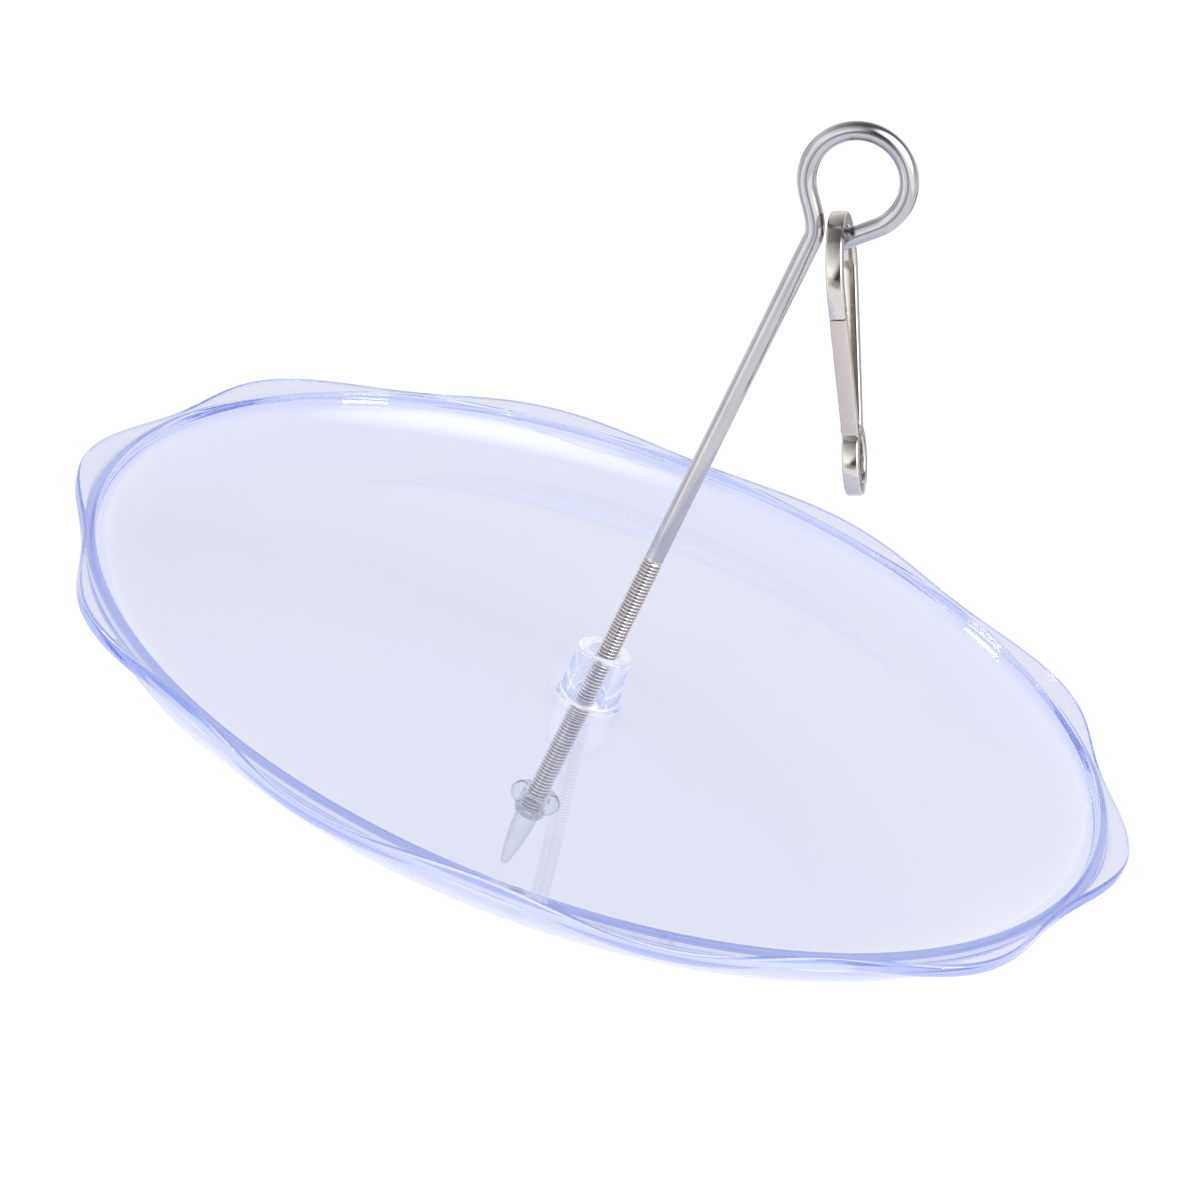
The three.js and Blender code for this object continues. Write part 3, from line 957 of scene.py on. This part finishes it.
# The gate's nickel is rubbed satin by use: the same metal with a soft spread shine, and faint marks
# that run along it, 1 mm apart and about 17 mm long.
RUB_MARKS_PER_M = (1000.0, 1000.0, 60.0)
satin_nickel = bpy.data.materials.new("satin_nickel")
satin_tree = bare_tree(satin_nickel)
gate_place = put(satin_tree, "ShaderNodeTexCoord")
mark_place = put(
    satin_tree,
    "ShaderNodeMapping",
    {"Vector": gate_place.outputs["Object"], "Scale": RUB_MARKS_PER_M},
)
marks = put(
    satin_tree,
    "ShaderNodeTexNoise",
    {"Vector": mark_place.outputs[0], "Scale": 1.0, "Detail": 3.0},
)
satin_rough = put(
    satin_tree,
    "ShaderNodeMapRange",
    {"Value": marks.outputs[0], "From Min": 0.3, "From Max": 0.7, "To Min": 0.34, "To Max": 0.44},
)
satin_colour = put(
    satin_tree,
    "ShaderNodeMix",
    {SHARE: marks.outputs[0], COLOUR_A: linear("#d0c5bf"), COLOUR_B: linear("#dfd6d0")},
    data_type="RGBA",
)
satin = put(
    satin_tree,
    "ShaderNodeBsdfPrincipled",
    {
        "Base Color": satin_colour.outputs[MIXED_COLOUR],
        "Metallic": 1.0,
        "Roughness": satin_rough.outputs[0],
    },
)
put(satin_tree, "ShaderNodeOutputMaterial", {"Surface": satin.outputs[0]})
hook_gate.data.materials.clear()
hook_gate.data.materials.append(satin_nickel)
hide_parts("hook_gate")
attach(hook_gate, "gate")


# Rivet: a nickel-plated steel pin through both sides of the gate's foot and the lug between them.
# Its ends are set to low domes, given here as points of radius and height from the edge inward.
RIVET_HEAD_R = 0.9
RIVET_HEAD_H = 0.25
RIVET_POINTS = 32
RIVET_DOME = (
    (RIVET_HEAD_R, 0.0),
    (RIVET_HEAD_R, 0.06),
    (0.78, 0.15),
    (0.5, 0.22),
    (0.2, RIVET_HEAD_H),
)
stem_end = HOOK_T / 2 + RIVET_FIT
rivet_section = [(r, -stem_end - h) for r, h in reversed(RIVET_DOME)]
rivet_section += [(RIVET_R, -stem_end), (RIVET_R, stem_end)]
rivet_section += [(r, stem_end + h) for r, h in RIVET_DOME]
rivet_turns = [2 * math.pi * k / RIVET_POINTS for k in range(RIVET_POINTS)]
rivet_rings = []
for r, side in rivet_section:
    round_pivot = [pivot + Vector((r * math.cos(a), r * math.sin(a), 0)) for a in rivet_turns]
    rivet_rings.append([hook_point(at, side) for at in round_pivot])
gate_rivet = skin("gate_rivet_pin", rivet_rings, sharp=50)
gate_rivet.data.materials.append(bright_nickel)
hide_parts("gate_rivet")
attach(gate_rivet, "snap_hook")


# Gate spring: a turn of hard drawn steel wire round the rivet, with two short legs. It is hidden in
# the gate's foot, beside the lug.
SPRING_WIRE_R = 0.15
SPRING_R = 0.88
SPRING_PITCH = 0.74
SPRING_TURNS = 1.25
SPRING_LEG = 0.6
SPRING_ROWS = 72
SPRING_POINTS = 12
HEADING_STEP = 0.01
spring_foot = lug_side + LUG_T / 2 + SLOT_PLAY / 2 + SPRING_WIRE_R
coil_length = SPRING_TURNS * 2 * math.pi * SPRING_R


def spring_point(along):
    """The middle of the spring's wire, in the hook's plane, this far along its coil"""
    on_coil = min(max(along, 0.0), coil_length)
    on_leg = along - on_coil
    wound = on_coil / SPRING_R
    a = wound + taper + math.pi
    x = SPRING_R * math.cos(a) - on_leg * math.sin(a)
    y = SPRING_R * math.sin(a) + on_leg * math.cos(a)
    return pivot + Vector((x, y, spring_foot + SPRING_PITCH * wound / (2 * math.pi)))


spring_turns = [2 * math.pi * k / SPRING_POINTS for k in range(SPRING_POINTS)]
spring_rings = []
for row in range(SPRING_ROWS + 1):
    along = -SPRING_LEG + (coil_length + 2 * SPRING_LEG) * row / SPRING_ROWS
    way = spring_point(along + HEADING_STEP) - spring_point(along - HEADING_STEP)
    way.normalize()
    across = way.cross(Vector((0, 0, 1))).normalized()
    upward = way.cross(across)
    ring = []
    for a in spring_turns:
        out = SPRING_WIRE_R * (math.cos(a) * across + math.sin(a) * upward)
        ring.append(hook_point(spring_point(along) + out))
    spring_rings.append(ring)
gate_spring = skin("gate_spring_wire", spring_rings)
gate_spring.data.materials.append(drawn_stainless)
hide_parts("gate_spring")
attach(gate_spring, "snap_hook")


# Studio: a white table just under the tip and a white surround, which the clear plastic shows as
# they are. A large soft lamp stands in front, above and to the right, and two small ones at the
# sides light the clear plastics alone.
TABLE_Z = -160.6
TABLE_HALF = 3.0
table_corners = [(x * TABLE_HALF, y * TABLE_HALF) for x, y in ((-1, -1), (1, -1), (1, 1), (-1, 1))]
table_mesh = bpy.data.meshes.new("table")
table_mesh.from_pydata([(x, y, TABLE_Z * MM) for x, y in table_corners], [], [(0, 1, 2, 3)])
table = bpy.data.objects.new("table", table_mesh)
bpy.context.scene.collection.objects.link(table)

# White laminate, matt: plain white to the eye and through the plastics. What the bright metal mirrors
# of it is lit unevenly round the holder, as in a room: each stop is a share of the turn round the
# table, from behind by the left to the front and by the right to behind again, and the light there.
# Far from the holder it is dark behind and straight in front.
NEAR_LIGHTS = (
    (0.0, 0.5),
    (0.2, 0.6),
    (0.26, 0.3),
    (0.31, 0.5),
    (0.37, 1.0),
    (0.43, 0.62),
    (0.8, 0.62),
    (1.0, 0.5),
)
FAR_BEHIND = 0.08
FAR_FRONT = 0.07
FAR_SIDES = 0.62
FAR_LIGHTS = (
    ((0.0, FAR_BEHIND), (0.12, FAR_BEHIND))
    + NEAR_LIGHTS[1:6]
    + ((0.455, FAR_SIDES), (0.484, FAR_FRONT), (0.516, FAR_FRONT), (0.545, FAR_SIDES))
    + ((0.8, FAR_SIDES), (0.88, FAR_BEHIND), (1.0, FAR_BEHIND))
)
FAR_FROM = 0.42
FAR_FULL = 0.55
MIRROR_LIGHT = 1.3
SEEN_LIGHT = 0.88
CAMERA_EXTRA = 0.06
white_table = bpy.data.materials.new("white_table")
table_tree = bare_tree(white_table)
table_rays = put(table_tree, "ShaderNodeLightPath")
table_place = put(table_tree, "ShaderNodeTexCoord")
table_at = put(table_tree, "ShaderNodeSeparateXYZ", {0: table_place.outputs["Object"]})
forward = put(table_tree, "ShaderNodeMath", {0: table_at.outputs["Y"], 1: -1.0}, operation="MULTIPLY")
round_table = put(
    table_tree,
    "ShaderNodeMath",
    {0: table_at.outputs["X"], 1: forward.outputs[0]},
    operation="ARCTAN2",
)
turn_share = put(
    table_tree,
    "ShaderNodeMapRange",
    {"Value": round_table.outputs[0], "From Min": -math.pi, "From Max": math.pi},
)
round_lights = []
for stops in (NEAR_LIGHTS, FAR_LIGHTS):
    ramp = put(table_tree, "ShaderNodeValToRGB", {0: turn_share.outputs[0]})
    band = ramp.color_ramp.elements
    for place, light in stops[1:-1]:
        band.new(place).color = (light, light, light, 1)
    for end in (0, -1):
        light = stops[end][1]
        band[end].color = (light, light, light, 1)
    round_lights.append(ramp.outputs[0])
table_far = put(
    table_tree,
    "ShaderNodeVectorMath",
    {0: table_place.outputs["Object"]},
    operation="LENGTH",
)
far_share = put(
    table_tree,
    "ShaderNodeMapRange",
    {"Value": table_far.outputs["Value"], "From Min": FAR_FROM, "From Max": FAR_FULL},
)
uneven_light = put(
    table_tree,
    "ShaderNodeMix",
    {SHARE: far_share.outputs[0], NUMBER_A: round_lights[0], NUMBER_B: round_lights[1]},
)
mirrored = put(
    table_tree,
    "ShaderNodeMath",
    {0: uneven_light.outputs[0], 1: MIRROR_LIGHT},
    operation="MULTIPLY",
)
in_metal = put(
    table_tree,
    "ShaderNodeMath",
    {0: mirrored.outputs[0], 1: table_rays.outputs["Is Glossy Ray"]},
    operation="MULTIPLY",
)
table_seen = put(
    table_tree,
    "ShaderNodeMath",
    {0: table_rays.outputs["Is Camera Ray"], 1: table_rays.outputs["Is Transmission Ray"]},
    operation="MAXIMUM",
)
table_light = put(
    table_tree,
    "ShaderNodeMix",
    {SHARE: table_seen.outputs[0], NUMBER_A: in_metal.outputs[0], NUMBER_B: SEEN_LIGHT},
)
to_camera = put(
    table_tree,
    "ShaderNodeMath",
    {0: table_rays.outputs["Is Camera Ray"], 1: CAMERA_EXTRA, 2: table_light.outputs[0]},
    operation="MULTIPLY_ADD",
)
table_glow = put(
    table_tree,
    "ShaderNodeEmission",
    {"Color": (1, 1, 1, 1), "Strength": to_camera.outputs[0]},
)
table_matt = put(table_tree, "ShaderNodeBsdfDiffuse", {"Color": linear("#848486")})
table_sum = put(
    table_tree,
    "ShaderNodeAddShader",
    {0: table_glow.outputs[0], 1: table_matt.outputs[0]},
)
put(table_tree, "ShaderNodeOutputMaterial", {"Surface": table_sum.outputs[0]})
table_mesh.materials.append(white_table)

# The surround is white to the eye and through the plastics. The metal mirrors a room instead: a
# ceiling that darkens upward and a dark doorway straight in front. A soft overhead light shows in
# first reflections only, as the shine on the ring and on the plate's far cove.
CEILING_LIGHT = 0.9
FRONT_FROM = -0.3
OVERHEAD = (0.42, -0.42, 0.8)
surround = bpy.data.worlds.new("surround")
sky_tree = bare_tree(surround)
sky_rays = put(sky_tree, "ShaderNodeLightPath")
sky_place = put(sky_tree, "ShaderNodeTexCoord")
sky_at = put(sky_tree, "ShaderNodeSeparateXYZ", {0: sky_place.outputs["Generated"]})
ceiling = put(
    sky_tree,
    "ShaderNodeMapRange",
    {
        "Value": sky_at.outputs["Z"],
        "From Min": 0.15,
        "From Max": 0.85,
        "To Min": 0.95,
        "To Max": 0.15,
    },
)
fill_light = put(
    sky_tree,
    "ShaderNodeMath",
    {0: ceiling.outputs[0], 1: CEILING_LIGHT},
    operation="MULTIPLY",
)
to_side = put(sky_tree, "ShaderNodeMath", {0: sky_at.outputs["X"]}, operation="ABSOLUTE")
doorway = put(
    sky_tree,
    "ShaderNodeMapRange",
    {
        "Value": to_side.outputs[0],
        "From Min": 0.12,
        "From Max": 0.26,
        "To Min": 0.08,
        "To Max": 1.6,
    },
)
in_front = put(
    sky_tree,
    "ShaderNodeMath",
    {0: sky_at.outputs["Y"], 1: FRONT_FROM},
    operation="LESS_THAN",
)
room = put(
    sky_tree,
    "ShaderNodeMix",
    {SHARE: in_front.outputs[0], NUMBER_A: 1.0, NUMBER_B: doorway.outputs[0]},
)
walls = put(
    sky_tree,
    "ShaderNodeMath",
    {0: ceiling.outputs[0], 1: room.outputs[0]},
    operation="MULTIPLY",
)
by_metal = put(
    sky_tree,
    "ShaderNodeMix",
    {
        SHARE: sky_rays.outputs["Is Glossy Ray"],
        NUMBER_A: fill_light.outputs[0],
        NUMBER_B: walls.outputs[0],
    },
)
sky_seen = put(
    sky_tree,
    "ShaderNodeMath",
    {0: sky_rays.outputs["Is Camera Ray"], 1: sky_rays.outputs["Is Transmission Ray"]},
    operation="MAXIMUM",
)
plain_sky = put(
    sky_tree,
    "ShaderNodeMix",
    {SHARE: sky_seen.outputs[0], NUMBER_A: by_metal.outputs[0], NUMBER_B: 1.0},
)
to_overhead = put(
    sky_tree,
    "ShaderNodeVectorMath",
    {0: sky_place.outputs["Generated"], 1: OVERHEAD},
    operation="DOT_PRODUCT",
)
overhead_light = put(
    sky_tree,
    "ShaderNodeMapRange",
    {
        "Value": to_overhead.outputs["Value"],
        "From Min": 0.76,
        "From Max": 1.0,
        "To Max": 4.0,
    },
    interpolation_type="SMOOTHSTEP",
)
mirrored_once = put(
    sky_tree,
    "ShaderNodeMath",
    {0: sky_rays.outputs["Glossy Depth"], 1: 1.0, 2: 0.5},
    operation="COMPARE",
)
not_through = put(
    sky_tree,
    "ShaderNodeMix",
    {
        SHARE: sky_rays.outputs["Is Transmission Ray"],
        NUMBER_A: mirrored_once.outputs[0],
        NUMBER_B: 0.0,
    },
)
sky_light = put(
    sky_tree,
    "ShaderNodeMath",
    {0: overhead_light.outputs[0], 1: not_through.outputs[0], 2: plain_sky.outputs[0]},
    operation="MULTIPLY_ADD",
)
sky = put(
    sky_tree,
    "ShaderNodeBackground",
    {"Color": (1, 1, 1, 1), "Strength": sky_light.outputs[0]},
)
put(sky_tree, "ShaderNodeOutputWorld", {"Surface": sky.outputs[0]})
bpy.context.scene.world = surround

LAMP_AIM = (0, 0, -0.1)
clear_plastics = bpy.data.collections.new("clear_plastics")
clear_plastics.objects.link(plate)
clear_plastics.objects.link(tip_nut)


def soft_lamp(name, place, size, watts, only_plastics):
    """A square soft lamp at a place in metres; it may be screened from all but the clear plastics"""
    lamp = bpy.data.lights.new(name, "AREA")
    lamp.shape = "SQUARE"
    lamp.size = size
    lamp.energy = watts
    holder = bpy.data.objects.new(name, lamp)
    holder.location = place
    holder.visible_glossy = only_plastics
    holder.visible_transmission = False
    if only_plastics:
        holder.light_linking.receiver_collection = clear_plastics
    holder.rotation_euler = (Vector(LAMP_AIM) - Vector(place)).to_track_quat("-Z", "Y").to_euler()
    bpy.context.scene.collection.objects.link(holder)


soft_lamp("top_lamp", (0.35, -0.48, 0.85), size=0.7, watts=6, only_plastics=False)
soft_lamp("left_lamp", (-1.0, -0.1, 0.0), size=0.2, watts=1.6, only_plastics=True)
soft_lamp("right_lamp", (0.95, -0.22, 0.08), size=0.2, watts=1.6, only_plastics=True)


# Camera: a long lens, a little above the plate and turned about its own axis, since the skewer leans
# over to the right in the picture. Light that runs round inside the clear plate needs many bounces,
# or the plate's edges go black.
CAMERA_AT = Vector((0, -880.7, 241.4)) * MM
CAMERA_AIM = Vector((-5.675, 0, -101.75)) * MM
CAMERA_ROLL = math.radians(26.19)
CAMERA_LENS = 151.64
BOUNCES = 400
camera = bpy.data.objects.new("camera", bpy.data.cameras.new("camera"))
camera.data.sensor_width = 36.0
camera.data.sensor_fit = "HORIZONTAL"
camera.data.lens = CAMERA_LENS
camera.data.clip_start = 0.05
camera.location = CAMERA_AT
camera.rotation_mode = "QUATERNION"
unrolled = (CAMERA_AIM - CAMERA_AT).to_track_quat("-Z", "Y")
camera.rotation_quaternion = unrolled @ Quaternion((0, 0, 1), CAMERA_ROLL)
bpy.context.scene.collection.objects.link(camera)
bpy.context.scene.camera = camera
bpy.context.scene.view_settings.view_transform = "Standard"
bpy.context.scene.cycles.max_bounces = BOUNCES
bpy.context.scene.cycles.glossy_bounces = BOUNCES
bpy.context.scene.cycles.transmission_bounces = BOUNCES
